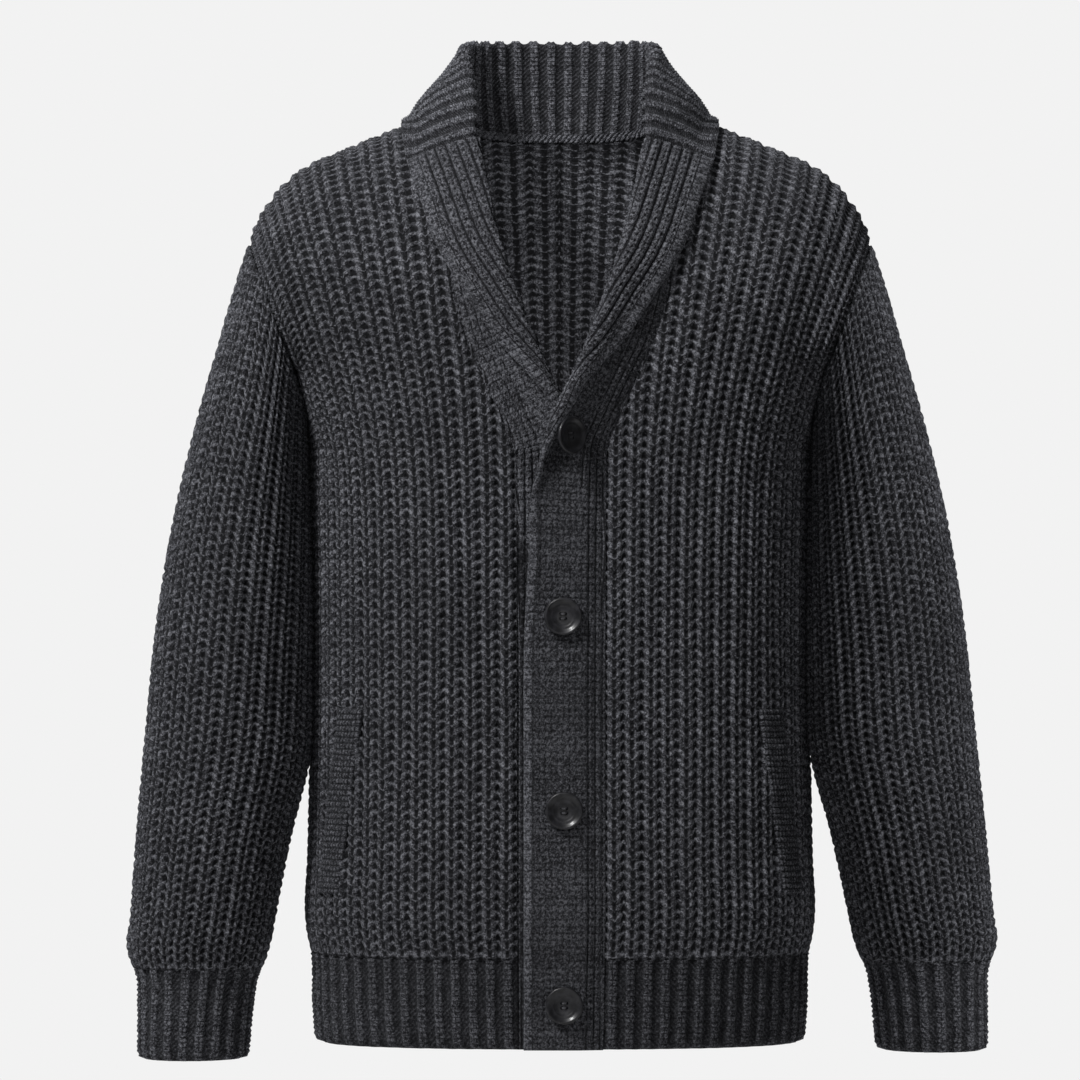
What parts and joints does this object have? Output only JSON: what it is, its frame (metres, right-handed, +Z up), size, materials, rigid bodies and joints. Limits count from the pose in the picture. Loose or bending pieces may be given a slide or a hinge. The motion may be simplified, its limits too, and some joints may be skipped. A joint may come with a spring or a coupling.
{
  "type": "shawl collar cardigan",
  "caption": "Chunky ribbed knit cardigan with a shawl collar, buttoned front, long sleeves with ribbed cuffs, ribbed hem and slanted welt pockets, filled out as worn.",
  "frame": {"origin": "the base of the wearer's neck, level with the back neck seam, midway between the shoulders, where the shoulders hold the garment up", "axes": "+Z up along the wearer's back, -Y out of the front, +X towards the wearer's left"},
  "size_m": [0.6553, 0.2674, 0.7755],
  "materials": {
    "chunky_knit": "matte",
    "ribbing": "matte",
    "collar_knit": "matte",
    "button": "gloss"
  },
  "bodies": {
    "root": {"left_front": "chunky_knit", "right_front": "chunky_knit", "back": "chunky_knit", "left_sleeve": "chunky_knit", "right_sleeve": "chunky_knit", "left_front_hem": "ribbing", "right_front_hem": "ribbing", "back_hem": "ribbing", "left_cuff": "ribbing", "right_cuff": "ribbing", "left_pocket_welt": "ribbing", "right_pocket_welt": "ribbing", "left_band_lapel": "collar_knit", "right_band_lapel": "collar_knit", "back_collar": "collar_knit", "button_1": "button", "button_2": "button", "button_3": "button", "button_4": "button"}
  },
  "joints": []
}
